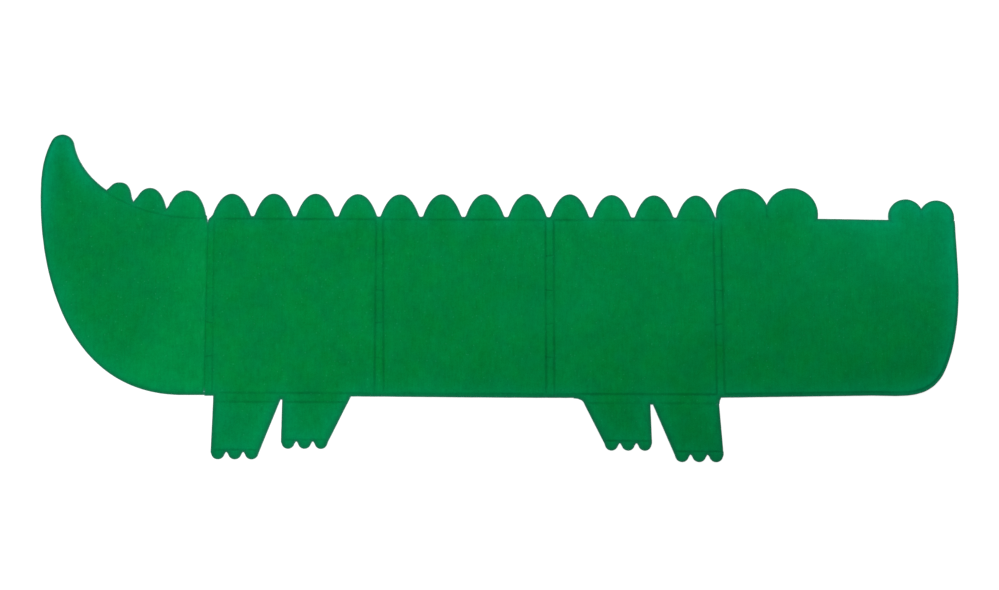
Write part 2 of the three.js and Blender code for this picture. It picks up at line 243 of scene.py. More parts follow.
def spine(middle, foot, rise, half_foot, lean_degrees, flank, top, root=4.3):
    """A spine: each flank is one curve, from a small flare at its foot to a level top."""
    lean = math.radians(lean_degrees)
    upwards = (half_foot - flank * rise * math.sin(lean), flank * rise * math.cos(lean))
    half = bezier((half_foot, 0), upwards, (top * half_foot, rise), (0, rise), 24)
    flare = [(half_foot + 1.1, -root), (half_foot + 1.1, 0), (half_foot + 0.4, 0.3), (half_foot - 0.1, 0.9)]
    half = np.vstack([flare, half[half[:, 1] > 1.3]])
    return np.vstack([half, half[-2::-1] * (-1, 1)]) + (middle, foot)


# %% Body, tail and head
# The body runs a little under its neighbours. Its hem was cut in a faint bow, and over the seam
# beside the tail the outline has a notch, whose two sides belong to the two felts.
under = 4
hem_x = np.linspace(-body_half - under, body_half + under, 120)
hem_bow = 0.8 - 1.1 * np.exp(-(((hem_x - 90) / 190) ** 2))
notch_body_side = [(-304.8, valley_level), (-307.7, 105.6), (-308.9, 103.6), (-309.3, 102.2)]
notch_tail_side = [(-309.4, 102.2), (-310.1, 103.6), (-310.6, 105), (-311.3, 106.6), (-312.6, 109.0)]
hem = np.column_stack([hem_x, hem_level + hem_bow])
body = np.vstack([hem, [(body_half + under, valley_level)], notch_body_side])
# The spines were cut by hand: how far each stands towards the tail, and how much taller it is
hand_cut_spines = [(1.4, 0), (1.65, 0.2), (2.0, 0.3), (1.85, 0), (1.9, -0.2), (1.85, 0.2),
                   (1.2, 0.6), (0.6, 0.9), (0.55, 0.6), (0.85, 0), (0.7, -0.3), (0.95, -0.3)]
spines = []
for i, (back, taller) in enumerate(hand_cut_spines):
    middle = -body_half + (i + 0.5) * spine_pitch - back
    spines.append(spine(middle, valley_level, spine_rise + taller, spine_half_foot, spine_lean, 0.22, 0.61))


def tail_place(along, up):
    return (-body_half - along * tail_length, hem_level + up * tail_height)


def tail_back_place(along, up):
    return (-body_half - along * tail_length, valley_level + up * tail_rise)


tip = (tail_place(0.883, 1)[0], hem_level + tail_height - 15.5)
tip_arc = arc(tip, (tip_radius, tip_radius), math.radians(10), math.radians(154))
tail_hem = hem_level + 1.6
tail_back = bezier((-body_half, valley_level), tail_back_place(0.332, -0.058),
                   tail_back_place(0.748, 0.259), tip_arc[0])
tail_low = (tail_place(0.144, 0)[0], tail_hem)
neighbour_overlap = 20
tail = np.vstack([
    [(-body_half + neighbour_overlap, tail_hem), (-body_half + neighbour_overlap, notch_tail_side[0][1])],
    notch_tail_side, tail_back[tail_back[:, 0] < -313.5], tip_arc[1:-1],
    bezier(tip_arc[-1], tail_place(0.993, 0.906), tail_place(1, 0.851), tail_place(1, 0.783)),
    bezier(tail_place(1, 0.783), tail_place(0.998, 0.434), tail_place(0.786, 0.002), tail_low)[1:],
])
tail_spines = []
for along, up, rise, half_foot, lean, flank, top in [
    (0.149, 0, 31.0, 24.1, 10.4, 0.41, 0.64),
    (0.363, 0.086, 25.3, 20.1, 12, 0.48, 0.57),
    (0.541, 0.178, 22.8, 15.8, 13, 0.4, 0.88),
]:
    middle, foot = tail_back_place(along, up)
    tail_spines.append(spine(middle, foot, rise, half_foot, lean, flank, top))


def head_place(along, up):
    return (body_half + along * head_length, hem_level + up * head_height)


jaw, snout = head_place(0.9385, 0.169), head_place(0.999, 0.688)
head_hem, brow = hem_level + 0.5, 107.2
head = np.vstack([
    [(body_half - neighbour_overlap, head_hem), (body_half, head_hem)],
    bezier(head_place(0.612, 0.0165), head_place(0.75, 0.021), head_place(0.876, -0.021), jaw),
    bezier(jaw, head_place(1, 0.359), head_place(0.9993, 0.588), snout)[1:],
    [(590.7, 105.2), (429, brow), (body_half - neighbour_overlap, brow)],
])
# Two eyes and two nostrils: each one's centre and its radii
bumps = []
for middle_x, middle_y, wide, tall in [(334.7, 111.7, 32.0, 32.0), (394.1, 112.4, 32.0, 32.0),
                                       (531.7, 110.2, 21.3, 21.1), (568.8, 108.7, 21.3, 21.3)]:
    bumps.append(arc((middle_x, middle_y), (wide, tall), 0, 2 * math.pi, 121)[:-1])
print("Body, tail and head, with", len(spines) + len(tail_spines), "spines and", len(bumps), "bumps")

# %% Legs
legs = {}
for name, side, order, setback, flare, length in [
    ("rear_outer_leg", -1, 0, 5.8, 1.6, 55.3), ("rear_inner_leg", -1, 1, 5.8, 1.6, 43.1),
    ("front_inner_leg", 1, 1, 0.4, 4.7, 43.1), ("front_outer_leg", 1, 0, 0.4, 4.7, 55.3),
]:
    outer_top = body_half - setback - order * leg_pitch
    outer_notch = outer_top + flare * (1 - order / 2)
    notch = leg_board_top - length - toe_foot
    slit = body_half - setback - to_slit
    legs[name] = dict(side=side, order=order, length=length, notch=notch, slit=slit, outer_top=outer_top,
                      inner_top=outer_top - leg_top_width,
                      outer_notch=outer_notch, inner_notch=outer_notch - leg_foot_width)


def leg_edge(leg, level, which):
    """How far from the body's middle one edge of a leg is, at a level."""
    top, bottom = leg[which + "_top"], leg[which + "_notch"]
    if which == "outer":
        level = np.minimum(level, leg_board_top)
    return top + (bottom - top) * (level - leg_board_top) / (leg["notch"] - leg_board_top)


# The legs were cut by hand too: how much wider at the top and the foot outside, wider at the
# foot inside, and longer
hand_cut_legs = {"rear_outer_leg": (-0.6, -0.6, 0, -0.5), "rear_inner_leg": (-1.1, -1.3, -0.6, -1.0),
                 "front_inner_leg": (-0.4, -1.1, 0, -0.2), "front_outer_leg": (-0.3, -0.3, 0.6, 0.9)}
# The scissors met between two toes in a narrow peak: places beside and below its top
toe_peak = [(-2.1, 2.6), (-1.55, 1.6), (-0.95, 0.6), (-0.6, 0.1), (0.6, 0.1), (0.95, 0.6), (1.55, 1.6),
            (2.1, 2.6), (3.5, 0), (3, -1.5), (-3, -1.5), (-3.5, 0)]
leg_shapes = []
for name, leg in legs.items():
    side, (at_top, at_foot, within, longer) = leg["side"], hand_cut_legs[name]
    notch, outer = leg["notch"] - longer, leg["outer_top"] + at_top
    outer_low, inner_low = leg["outer_notch"] + at_foot, leg["inner_notch"] - within
    sheet = [(outer, -board_top), (leg_edge(leg, -board_top, "inner"), -board_top),
             (inner_low, notch), (outer_low, notch), (outer, leg_board_top)]
    leg_shapes.append(np.array(sheet) * (side, 1))
    toe_pitch = (outer_low - inner_low + toe_gap) / 3
    for i in range(3):
        middle = inner_low + (toe_pitch - toe_gap) / 2 + i * toe_pitch
        toe = crown(middle, notch, -toe_rise, (toe_pitch - toe_gap) / 2, toe_lean, toe_foot)
        leg_shapes.append(toe * (side, 1))
    for i in (1, 2):
        gap = inner_low + i * toe_pitch - toe_gap / 2
        leg_shapes.append(np.array([((gap + x) * side, notch - down) for x, down in toe_peak]))
print("Shapes of the legs, toes and toe gaps:", len(leg_shapes))

# %% Small joins of the real cut
valleys_of_tail_spines = [
    [(-402.4, 131), (-401.6, 128.9), (-400.6, 126.5), (-399.9, 125.2), (-399.1, 126.5), (-397.3, 128.9),
     (-394.8, 132), (-390, 118), (-408, 118)],
    [(-363, 125), (-361.6, 119.9), (-359.6, 116.9), (-357.5, 119.9), (-355.3, 125), (-352, 110), (-367, 110)],
    [(-432.2, 140), (-430.5, 141.2), (-428.2, 143.7), (-424, 132), (-436, 132)],
]
slit_ends = [
    [(-221, -106), (-221, -112.6), (-215.5, -112.6), (-215.5, -106)],
    [(221, -106), (221, -115.6), (222.6, -117), (225.2, -117.1), (227, -115), (227, -106)],
]
soft_corners = [
    [(131, -106), (131, -109.9), (136, -110.4), (140.3, -112.1), (142.3, -114), (144.5, -118.4), (147, -106)],
    [(302, -106), (302, -116), (304.7, -116.2), (305.3, -112), (306.6, -109.3), (307, -106)],
]
joins = [np.array(join) for join in [*valleys_of_tail_spines, *slit_ends, *soft_corners]]
shapes = [body, tail, head, *spines, *tail_spines, *bumps, *leg_shapes, *joins]
print("Shapes in the outline:", len(shapes))

# %% [markdown]
# ### One line round all the parts
# Blender's triangulation takes overlapping polygons and says which of them each triangle lies
# in. Triangles in none are thrown away, and the edges that have a triangle on one side only
# are the outline. Scissors never follow a line quite, so the outline then wanders by a tenth
# of a millimetre.


# %% Find the outline
def signed_area(points):
    nxt = np.roll(points, -1, axis=0)
    return 0.5 * np.sum(points[:, 0] * nxt[:, 1] - nxt[:, 0] * points[:, 1])


def anticlockwise(line):
    return line if signed_area(line) > 0 else line[::-1]


def triangulate(points, edges, faces):
    """Triangles inside the given faces, as an array of points and one of corner numbers."""
    result = delaunay_2d_cdt([Vector(p) for p in points], edges, faces, 0, 1e-5)
    kept = [face for face, inside in zip(result[2], result[5]) if inside]
    return np.array([tuple(p) for p in result[0]]), np.array(kept, int)


points, faces = [], []
for shape in shapes:
    faces.append(list(range(len(points), len(points) + len(shape))))
    points.extend(map(tuple, anticlockwise(shape)))
plan, triangles = triangulate(points, [], faces)
directed = {(int(t[i]), int(t[(i + 1) % 3])) for t in triangles for i in range(3)}
follow = {a: b for a, b in directed if (b, a) not in directed}
loops = []
while follow:
    start = next(iter(follow))
    loop = [start]
    while (after := follow.pop(loop[-1], None)) is not None and after != start:
        loop.append(after)
    loops.append(plan[loop])
outline = max(loops, key=signed_area)


def resample(line, spacing):
    """Points along a closed line at an even spacing between its corners."""
    made = []
    for a, b in zip(line, np.roll(line, -1, axis=0)):
        steps = max(1, math.ceil(np.linalg.norm(b - a) / spacing))
        made.extend(a + (b - a) * i / steps for i in range(steps))
    return np.array(made)


def normals(line):
    """Directions pointing out of a closed anticlockwise line, at each of its points."""
    along = np.roll(line, -1, axis=0) - np.roll(line, 1, axis=0)
    out = np.column_stack([along[:, 1], -along[:, 0]])
    return out / np.maximum(np.linalg.norm(out, axis=1), 1e-9)[:, None]


close, edge_spacing, wander_by, wander_length = 0.05, 2.2, 0.12, 7
steps = np.linalg.norm(outline - np.roll(outline, 1, axis=0), axis=1)
outline = resample(outline[steps >= close], edge_spacing)
wander = [wander_by * noise.noise(Vector((x / wander_length, y / wander_length, 3.0))) for x, y in outline]
outline = outline + normals(outline) * np.array(wander)[:, None]
length = np.linalg.norm(outline - np.roll(outline, 1, axis=0), axis=1).sum()
print("Outline:", len(loops), "loops,", len(outline), "points,", round(length), "mm round,",
      round(signed_area(outline) / 1e6, 4), "m2")

# %% [markdown]
# ## How high the felt lies
# Over a board the felt is 2.3 mm above the middle of the thickness, and where the two felts
# meet it is half of that. Between the two it runs down a soft slope, some three millimetres
# wide, where the cloth was pressed round the board. These slopes are the thin dark lines in
# the photograph. They could be painted on. They are real shape here, which a lamp from the side
# brings out too, and the marks further down only deepen them. Each board was laid in by hand,
# and some sides lean by a millimetre or so, as in the photograph.


# %% Distances
def near_segments(points, line, reach, closed=True):
    """Distance from each point to a line, cut off at reach. Points are taken in strips of x."""
    a = line if closed else line[:-1]
    b = np.roll(line, -1, axis=0) if closed else line[1:]
    low, high = np.minimum(a[:, 0], b[:, 0]) - reach, np.maximum(a[:, 0], b[:, 0]) + reach
    order = np.argsort(points[:, 0])
    found = np.full(len(points), float(reach))
    for chunk in np.array_split(order, max(1, len(points) // 400)):
        if not len(chunk):
            continue
        p = points[chunk]
        use = (high > p[:, 0].min()) & (low < p[:, 0].max())
        if not use.any():
            continue
        s, d = a[use], (b - a)[use]
        t = np.einsum("pij,ij->pi", p[:, None] - s, d) / np.maximum((d * d).sum(1), 1e-12)
        gap = p[:, None] - s - np.clip(t, 0, 1)[..., None] * d
        found[chunk] = np.minimum(found[chunk], np.sqrt((gap**2).sum(2)).min(1))
    return found


def inside(points, line):
    a, b = line, np.roll(line, -1, axis=0)
    result = np.zeros(len(points), bool)
    for chunk in np.array_split(np.arange(len(points)), max(1, len(points) // 4000)):
        x, y = points[chunk, :1], points[chunk, 1:]
        crosses = (a[:, 1] > y) != (b[:, 1] > y)
        rise = np.where(b[:, 1] == a[:, 1], 1, b[:, 1] - a[:, 1])
        result[chunk] = (crosses & (x < a[:, 0] + (y - a[:, 1]) * (b[:, 0] - a[:, 0]) / rise)).sum(1) % 2 == 1
    return result


def depth_in(points, line, reach=12):
    """How deep a point is inside a closed line: below zero outside it."""
    return near_segments(points, line, reach) * np.where(inside(points, line), 1, -1)


# %% The boards' outlines, as the felt shows them
board_spacing = 3


def board_sides(left, right, left_lean, right_lean, spacing=board_spacing):
    corners = np.array([(left + left_lean[1], -board_top), (right + right_lean[1], -board_top),
                        (right + right_lean[0], board_top), (left + left_lean[0], board_top)])
    return resample(corners, spacing)


# Each panel board's left and right side, and how far each leans at the top and at the foot
panel_sides = {"rear_panel": (-299.55, -107.25), "middle_panel": (-96.15, 96.15),
               "front_panel": (107.25, 299.55)}
panel_leans = {"rear_panel": ((-1.5, 0.5), (0, 0)), "middle_panel": ((-1.5, 1.4), (0.2, 1.4)),
               "front_panel": ((0.6, 1.5), (-0.9, 1.3))}
panel_boards = {name: board_sides(*sides, *panel_leans[name]) for name, sides in panel_sides.items()}
leg_boards = {}
for name, leg in legs.items():
    share = leg["length"] / (leg_board_top - leg["notch"])
    outer_foot = leg["outer_top"] + (leg["outer_notch"] - leg["outer_top"]) * share - leg_margin
    inner_foot = leg["inner_top"] + (leg["inner_notch"] - leg["inner_top"]) * share + leg_margin
    board_foot = leg_board_top - leg["length"]
    corners = np.array([(leg["inner_top"] + leg_margin, leg_board_top), (inner_foot, board_foot),
                        (outer_foot, board_foot), (leg["outer_top"] - leg_margin, leg_board_top)])
    corners = corners * (leg["side"], 1)
    leg_boards[name] = resample(anticlockwise(corners), board_spacing)

tail_line, head_lines = anticlockwise(tail), [anticlockwise(head), *bumps]
# Between its two eyes, and between its two nostrils, the head's board is whole
bridges = []
for first in (0, 2):
    (x0, y0), (x1, y1) = bumps[first].mean(0), bumps[first + 1].mean(0)
    bridges.append(np.array([(x0, -1.0), (x1, -1.0), (x1, y1), (x0, y0)]))


tail_board_side, head_board_side = -310.95, 310.65
# The head's board ends this much higher above the hem than the outline would have it
head_board_lift = 2.2


def tail_depth(p):
    return np.minimum(depth_in(p, tail_line) - board_margin, tail_board_side - p[:, 0])


def head_depth(p):
    def whole(q):
        return np.max([depth_in(q, line) - board_margin for line in [*head_lines, *bridges]], axis=0)

    leaning_side = head_board_side - p[:, 1] / board_top
    return np.min([whole(p), whole(p - (0, head_board_lift)), p[:, 0] - leaning_side], axis=0)


def board_depth(p):
    """How deep a point is inside the nearest board's outline, below zero beside it."""
    depths = [depth_in(p, line) for line in [*panel_boards.values(), *leg_boards.values()]]
    return np.max([*depths, tail_depth(p), head_depth(p)], axis=0)


print("Boards:", len(panel_boards) + len(leg_boards) + 2)

# %% [markdown]
# ## Points for the mesh
# Felt needs fine points where it bends and few where it lies flat. Rows of points follow the
# cut edge and each board's edge, the folds get a narrow grid, and the rest a wide one. A
# uniform fine grid would look the same and take twenty times the memory.

# %% Rows of points
edge_rows = (0.14, 0.4, 1.0, 2.0, 3.4)
slope_rows = (-3.1, -2.4, -1.9, -1.4, -0.9, -0.4, 0.1, 0.6, 1.1, 2.0)
row_spacing, off_slopes = 2.5, -3.8
rows = []
out = normals(outline)
for row in edge_rows:
    made = outline - out * row
    keep = np.abs(near_segments(made, outline, 4) - row) < 0.04
    # The two inner rows stay off the slopes, which have rows of their own
    rows.append(made[keep & ((row < 1.5) | (board_depth(made) < off_slopes))])
board_lines = [(line, 0) for line in [*panel_boards.values(), *leg_boards.values()]]
for line in [tail_line, *head_lines, head_lines[0] + (0, head_board_lift)]:
    board_lines.append((resample(line, row_spacing), board_margin))
side_y = np.arange(-106, 107, row_spacing)
tail_side = np.column_stack([np.full_like(side_y, tail_board_side), side_y])
head_side = np.column_stack([head_board_side - side_y / board_top, side_y])
for row in slope_rows:
    followed = [line - normals(line) * (margin + row) for line, margin in board_lines]
    for made in [*followed, tail_side - (row, 0), head_side + (row, 0)]:
        rows.append(made[np.abs(board_depth(made) - row) < 0.08])

# In the folds, rows run down the strip, finer where small creases cross it
strip_x = np.array([-3.4, -2.5, -1.4, 1.4, 2.5, 3.4])
leg_strip_y = (-113.4, -111.8, -108.2, -106.6)
tick_steps = (-1.8, -1.2, -0.6, 0, 0.6, 1.2, 1.8)
tick_levels = {"tail_fold": (21, -20.5, -60.7), "rear_fold": (62, 19, -20, -62),
               "front_fold": (61, 19.5, -21, -61), "head_fold": (61, 20, -21, -46)}
strip_y = {}
for name, middle in fold_middles.items():
    fine = [level + step for level in tick_levels[name] for step in tick_steps]
    plain = [y for y in np.arange(-108, 138, 2.4) if min(abs(y - f) for f in fine) > 1.2]
    strip_y[name] = np.array(sorted(fine + plain))
    rows.append(np.array([(middle + x, y) for x in strip_x for y in strip_y[name]]))
for y in leg_strip_y:
    for leg in legs.values():
        along = np.arange(leg["inner_top"] - 3, leg["outer_top"], 2.6)
        rows.append(np.array([(leg["side"] * x, y) for x in along]))

# %% A wide grid that keeps clear of every row
rng = np.random.default_rng(7)
cell_wide, cell_tall, uneven = 6.4, 5.6, 0.7
grid_x, grid_y = np.meshgrid(np.arange(-515, 597, cell_wide), np.arange(-180, 212, cell_tall))
grid_x = grid_x + (np.arange(len(grid_x)) % 2)[:, None] * cell_wide / 2
grid = np.column_stack([grid_x.ravel(), grid_y.ravel()]) + rng.uniform(-uneven, uneven, (grid_x.size, 2))
clear = near_segments(grid, outline, 6) > 4.6
# Off the slopes, the folds and the legs' strips
depth = board_depth(grid)
clear &= (depth < -4.2) | (depth > 3.2)
clear &= np.min([np.abs(grid[:, 0] - m) for m in fold_middles.values()], axis=0) > 6
clear &= (grid[:, 1] < leg_board_top) | (grid[:, 1] > -104) | (np.abs(grid[:, 0]) > 310)
rows.append(grid[clear])
field = np.vstack(rows)
print("Points inside the outline:", len(field))

# %% [markdown]
# ## Where one piece ends and the next begins
# The felt is one sheet on the real board. Here it is divided where it bends, because each
# piece has to follow its own board. The dividing lines run down the folds: beside each board,
# and along the middle of each strip, where the strip's two creases share it.

# %% Dividing lines
lines = []
for name, middle in fold_middles.items():
    levels = np.concatenate([[-111], strip_y[name], [141]])
    for offset in (-fold_half, 0, fold_half):
        lines.append(np.array([(middle + offset, y) for y in levels]))
# The soft corner beside an inner leg bends with the leg's strip: how far the strip's lines reach
# into it at each level
corner_reach = {leg_cut: 0, leg_middle: 14, leg_foot: 5}
strip_edge, below_slit = body_half - fold_half, -118
for leg in legs.values():
    side = leg["side"]
    for level in (leg_cut, leg_middle, leg_foot):
        inner = leg["slit"] if leg["order"] == 0 else leg_edge(leg, level, "inner")
        outer = leg["slit"] if leg["order"] == 1 else leg["outer_top"] + 2
        outer = min(outer, strip_edge) if level == leg_cut else outer
        inner -= corner_reach[level] * leg["order"]
        lines.append(np.array([(side * x, level) for x in np.linspace(inner, outer, 30)]))
    if leg["order"] == 1:
        down = np.linspace(leg_cut, leg_middle, 4)
        lines.append(np.array([(side * leg_edge(leg, y, "inner"), y) for y in down]))
        lines.append(np.array([(side * leg["slit"], y) for y in np.linspace(leg_cut, below_slit, 8)]))
    else:
        edge = min(leg["outer_top"], strip_edge)
        lines.append(np.array([(side * edge, y) for y in np.linspace(leg_cut, hem_level - 2, 4)]))
lines.append(np.array([(x, hem_level) for x in np.linspace(strip_edge, 306.8, 4)]))

points, edges = list(map(tuple, outline)), []
for line in lines:
    first = len(points)
    points.extend(map(tuple, line))
    edges.extend((first + i, first + i + 1) for i in range(len(line) - 1))
near = np.min([near_segments(field, line, 3, closed=False) for line in lines], axis=0) > 0.45
points.extend(map(tuple, field[near]))
plan, triangles = triangulate(points, edges, [list(range(len(outline)))])
print("Felt plan:", len(plan), "points,", len(triangles), "triangles")

# %% Name each triangle's piece
middle_of = plan[triangles].mean(axis=1)
x, y = middle_of[:, 0], middle_of[:, 1]
piece_of = np.full(len(triangles), "", dtype=object)
# From the tail to the head: where along x each body, and each half of a fold, ends
stops = []
before_folds = ["tail", "rear_panel", "middle_panel", "front_panel"]
for body_name, (fold, middle) in zip(before_folds, fold_middles.items()):
    first, second = (".far", ".near") if middle < 0 else (".near", ".far")
    stops += [(body_name, middle - fold_half), (fold + first, middle), (fold + second, middle + fold_half)]
for name, right in reversed([*stops, ("head", math.inf)]):
    piece_of[x < right] = name
for name, leg in legs.items():
    away = x * leg["side"]
    if leg["order"] == 1:
        mine = (away > leg_edge(leg, y, "inner")) & (away < leg["slit"])
        inner_edge = leg_edge(leg, y, "inner") - corner_reach[leg_middle]
        mine |= (y < leg_middle) & (away > inner_edge) & (away < leg["slit"])
        mine |= (y < below_slit) & (away > leg["inner_top"]) & (away < leg["outer_notch"] + 0.5)
    else:
        beyond = leg["outer_top"] + 8
        outer_edge = np.where(y > hem_level, min(leg["outer_top"], strip_edge), beyond)
        mine = (away > leg["slit"]) & (away < outer_edge)
        mine |= (y < below_slit) & (away > leg_edge(leg, y, "inner") - 1.5) & (away < beyond)
    mine &= y < leg_cut
    piece_of[mine & (y > leg_middle)] = name + "_fold.near"
    piece_of[mine & (y <= leg_middle) & (y > leg_foot)] = name + "_fold.far"
    piece_of[mine & (y <= leg_foot)] = name
names, counts = np.unique(piece_of.astype(str), return_counts=True)
print("Triangles in each piece:", dict(zip(names.tolist(), counts.tolist())))

# %% [markdown]
# ### Heights
# For every point of the plan: how far it is from the cut edge, how deep it lies over a board,
# and from these the height of the felt's two faces. The board's edge is pressed in harder in
# some places than in others. Three or four small creases run across each fold, and there are
# dents at the tops of the slits between the legs, above one leg and in the head's fold.


# %% Surface heights
def smooth(value):
    value = np.clip(value, 0, 1)
    return value * value * (3 - 2 * value)


def waves(points, size, seed):
    return np.array([noise.noise(Vector((px / size, py / size, seed))) for px, py in points])


def bell(value, width):
    return np.exp(-((value / width) ** 2))


px, py = plan[:, 0], plan[:, 1]
cut_distance = near_segments(plan, outline, 8)
depth = board_depth(plan)
over_board = smooth((depth + slope_width) / (slope_width + 0.9))
strength = np.clip(0.9 + 0.9 * waves(plan, 45, 5.0), 0.55, 1.3)
# The line left of the rear panel is faint and fades towards the top
strength *= np.where(px < -290, 0.35 + 0.25 * smooth(-py / 80), 1.0)

ticks = np.zeros(len(plan))
for name, middle in fold_middles.items():
    for i, level in enumerate(tick_levels[name]):
        across = smooth((fold_half + 0.6 - np.abs(px - middle)) / 1.4)
        slant = level + 0.12 * (px - middle) * (-1) ** i
        firm = 0.65 + 0.35 * ((i * 7 + len(name)) % 3) / 2
        ticks = np.maximum(ticks, across * bell(py - slant, 0.85) * firm)


def spot(spot_x, spot_y, wide, tall, much):
    """A soft round mark, strongest in its middle."""
    return much * np.exp(-(((px - spot_x) / wide) ** 2) - ((py - spot_y) / tall) ** 2)


dents = [(-217.3, -109.9, 1.3, 2.2, 1.0), (224.3, -114.2, 1.5, 3.0, 1.0), (-271.5, -111.1, 2.4, 1.6, 0.5),
         (304.6, -21.0, 1.2, 1.2, 0.9)]
for dent in dents:
    ticks = np.maximum(ticks, spot(*dent))

# The outer face: wide and small waves, the dip beside a board's edge, and a rounded cut edge
wide_wave, small_wave, dip, tick_dip, edge_round = 0.10, 0.035, 0.07, 0.3, 0.42
surface = sheet_half + (shell_half - sheet_half) * over_board
surface += wide_wave * over_board * waves(plan, 42, 1.0) + small_wave * waves(plan, 8, 2.0)
surface -= dip * bell(depth + 2.0, 0.9) * strength + tick_dip * ticks
inward = np.clip(edge_round - cut_distance, 0, edge_round)
surface -= edge_round - np.sqrt(np.maximum(edge_round**2 - inward**2, 0))

# The inner face stays off the CAD board, whose sides don't lean, and near the glue line elsewhere
board_clearance, edge_thin, least_thick = 0.04, 0.14, 0.12
cad_boards = [board_sides(*sides, (0, 0), (0, 0), spacing=50) for sides in panel_sides.values()]
over_cad_board = np.max([depth_in(plan, board) for board in cad_boards], axis=0)
inner = np.maximum(surface - felt_thick, glue_line)
board_near = (over_cad_board > -0.1) | (depth > -0.1)
inner = np.where(board_near, np.maximum(inner, board_half + board_clearance), inner)
inner += edge_thin * smooth((0.5 - cut_distance) / 0.5)
surface = np.maximum(surface, inner + least_thick)
print("Felt surface from", round(surface.min(), 2), "to", round(surface.max(), 2), "mm above the middle")

# %% [markdown]
# ### Marks for the material
# The material has to know where the cloth is pressed or cut, and where shade and light are painted on it.
# Each of these is a number kept with every point, 0 where there is nothing of it and 1 where it is strong.
# They could be painted by hand. Worked out from the distances, they follow the shape wherever it goes.

# %% Marks
# Painted shade, where the felt is also pressed: beside each board's edge, in the creases and in the dents
pressed = 0.5 * bell(depth + 0.7, 1.7) * strength * smooth(cut_distance / 2) + 0.65 * ticks
# Painted shade along the cut edge too, in a band that is wider and darker along the hem and the legs
low_side = smooth((-py - 60) / 50)
rim = (0.72 + 0.2 * low_side) * bell(cut_distance, 3.0 + 1.6 * low_side)
pressed = np.clip(np.maximum(pressed, rim), 0, 1)
# The seam beside the tail is a fine dark line
pressed = np.maximum(pressed, 0.48 * bell(px + 309.3, 0.8) * smooth((101 - np.abs(py)) / 6))

# Painted shade along the rounded cut edge, fading within a millimetre or so
# Pale fibres fill the foot of the notch, the slit at the tail, and a frayed spot on the last leg
edge_shade_and_fibres = np.exp(-cut_distance / 1.1)
frays = [(-309.6, 101.6, 1.4, 2.8, 1.0), (-309.4, -103.4, 1.1, 3.0, 1.0), (302.4, -116.3, 0.9, 3.2, 0.9)]
for fray in frays:
    edge_shade_and_fibres = np.maximum(edge_shade_and_fibres, spot(*fray))

# Painted light: the edges paler, most of all the snout, the top of the head and the tail's tip
handled = np.exp(-near_segments(plan, outline, 34) / 12) - math.exp(-34 / 12)
handled *= 1 + 0.9 * smooth((px - 440) / 120) + 1.9 * smooth((-px - 430) / 60) * smooth((py - 60) / 90)
handled += 0.4 * smooth((px - 380) / 160) * smooth((py + 10) / 90)
handled += 0.14 * smooth((px + 20) / 150) * smooth((py + 60) / 80) + 0.2 * smooth((-py - 112) / 10) * (px < 0)
# The tail's felt turns lighter towards the seam and towards the hem
seam_x = -body_half - fold_half
toned = smooth((px + 385 + 0.7 * np.clip(-py, 0, 90)) / 60) * (px < seam_x - 0.01)
seam_mark = 0.4 * bell(px + 314, 2.0) * bell(py, 50)
marks = {"pressed": pressed, "cut": edge_shade_and_fibres, "seam": seam_mark, "handled": handled, "toned": toned}
print("Marks:", {key: round(float(values.mean()), 3) for key, values in marks.items()})

# %% One direction for each point of the whole sheet
# The pieces are divided later. With these, the shading runs on over a dividing cut.
corners = np.column_stack([plan, surface])[triangles]
face_normals = np.cross(corners[:, 1] - corners[:, 0], corners[:, 2] - corners[:, 0])
sheet_normals = np.zeros((len(plan), 3))
for corner in range(3):
    np.add.at(sheet_normals, triangles[:, corner], face_normals)
sheet_normals /= np.maximum(np.linalg.norm(sheet_normals, axis=1), 1e-12)[:, None]
print("Directions:", len(sheet_normals), "of which", int((sheet_normals[:, 2] < 0.95).sum()), "lean")

# %% [markdown]
# ## Felt
# The cloth is dyed wool or acrylic felt: short fibres, matted and pressed, neither woven nor
# knitted. The eye sees no threads, but a cloudy mottle a few millimetres across, faint
# streaks along the way it was rolled, pale bits of lint, and almost no shine. It could be made
# with thousands of hairs. Real fibres are 0.02 mm thick, far too fine to show here, so they
# are drawn as noise about a millimetre across, in colour and in bump alike. The texture
# follows each point's place at rest, which is kept with the mesh, so it stays put when a fold
# bends.


